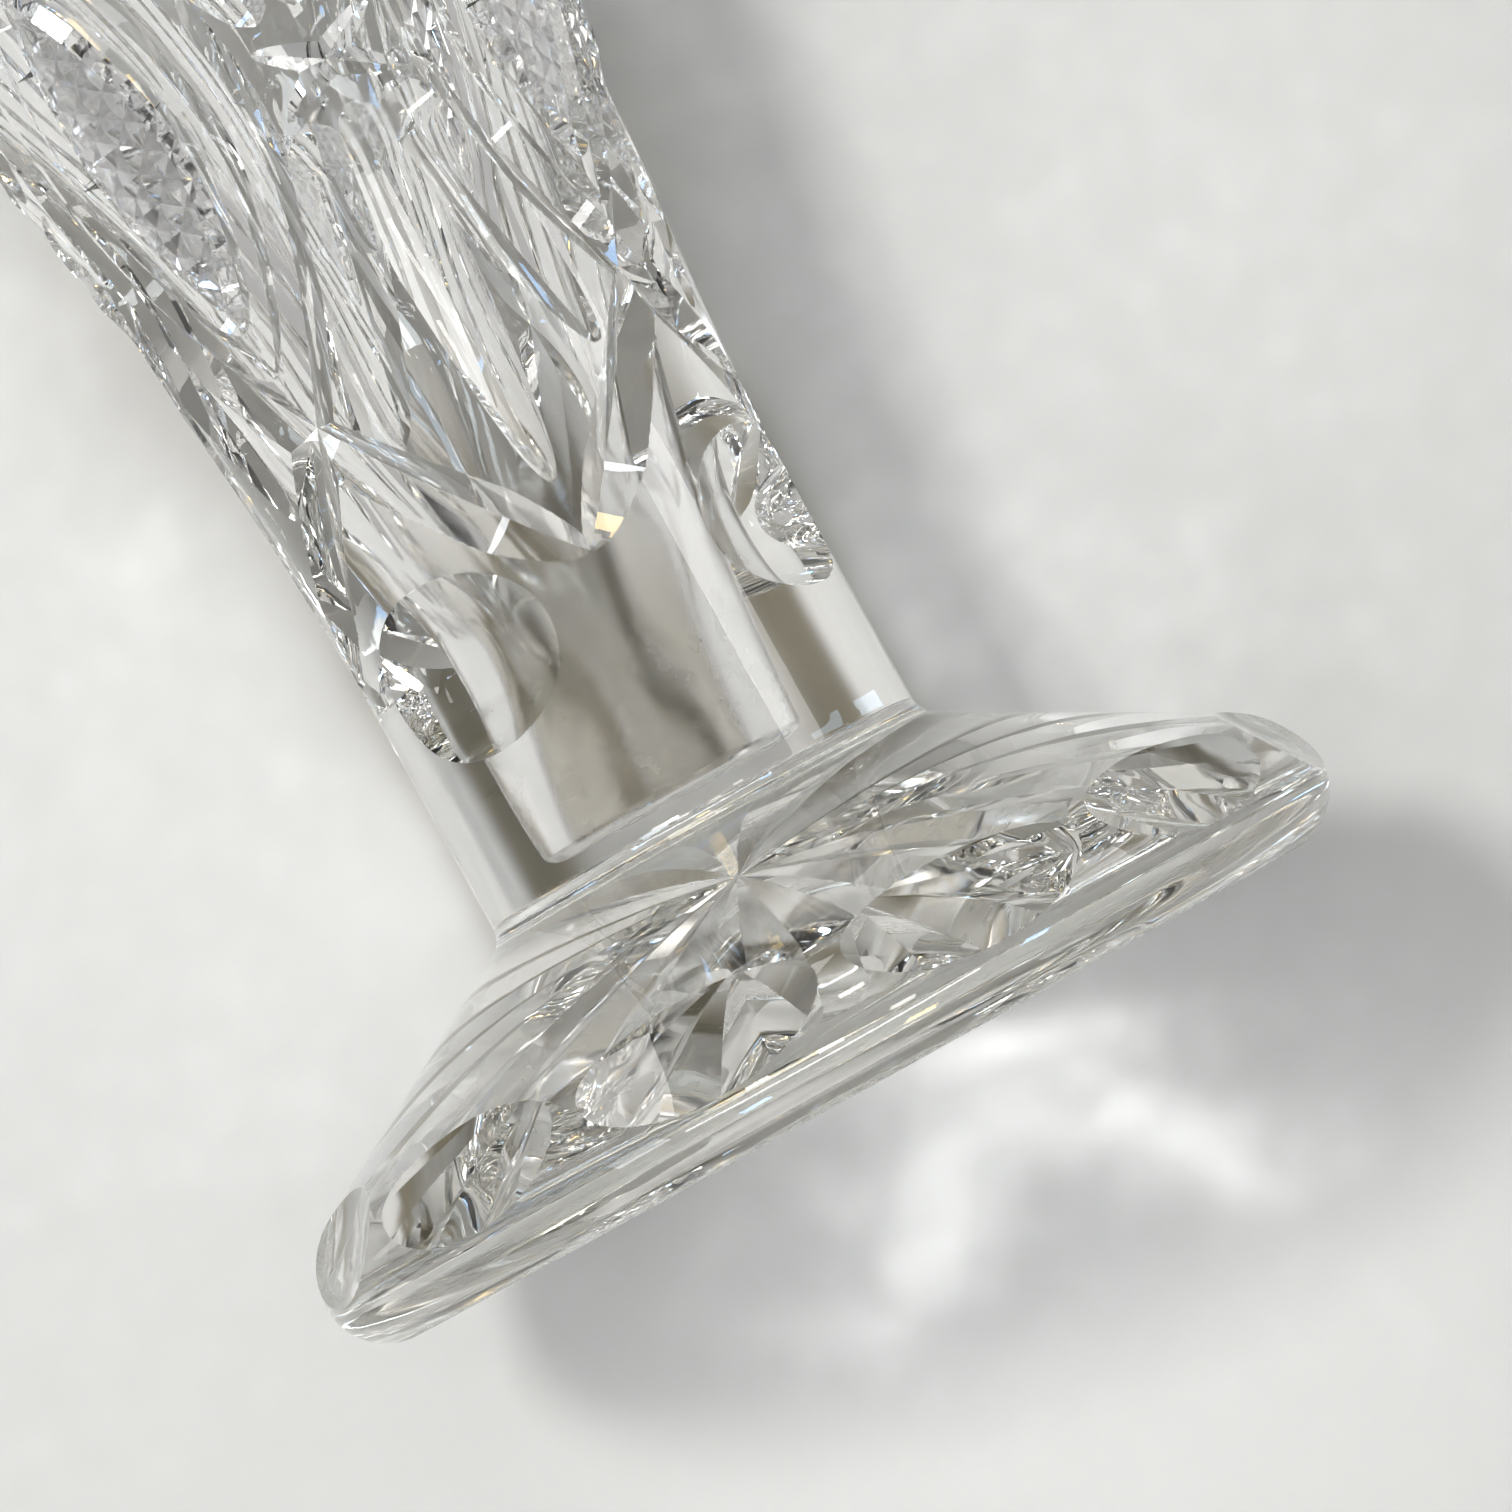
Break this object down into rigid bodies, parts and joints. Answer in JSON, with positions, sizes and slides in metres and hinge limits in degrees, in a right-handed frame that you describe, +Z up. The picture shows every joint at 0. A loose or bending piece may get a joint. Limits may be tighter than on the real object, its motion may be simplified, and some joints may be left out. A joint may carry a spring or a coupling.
{
  "type": "crystal trumpet vase",
  "caption": "Cut crystal trumpet vase: heavy stem flaring to a scalloped mouth, on a faceted cone foot, with mitre, fan and punty cutting.",
  "frame": {"origin": "centre of the ring that the foot rests on", "axes": "+Z up along the vase's axis, towards the mouth; +X through the middle of one pointed panel and the punty under it"},
  "size_m": [0.1156, 0.1156, 0.1999],
  "materials": {
    "cut_crystal": "clear lead crystal, wheel cut and polished"
  },
  "bodies": {
    "root": {"trumpet_body": "cut_crystal", "foot": "cut_crystal"}
  },
  "joints": []
}
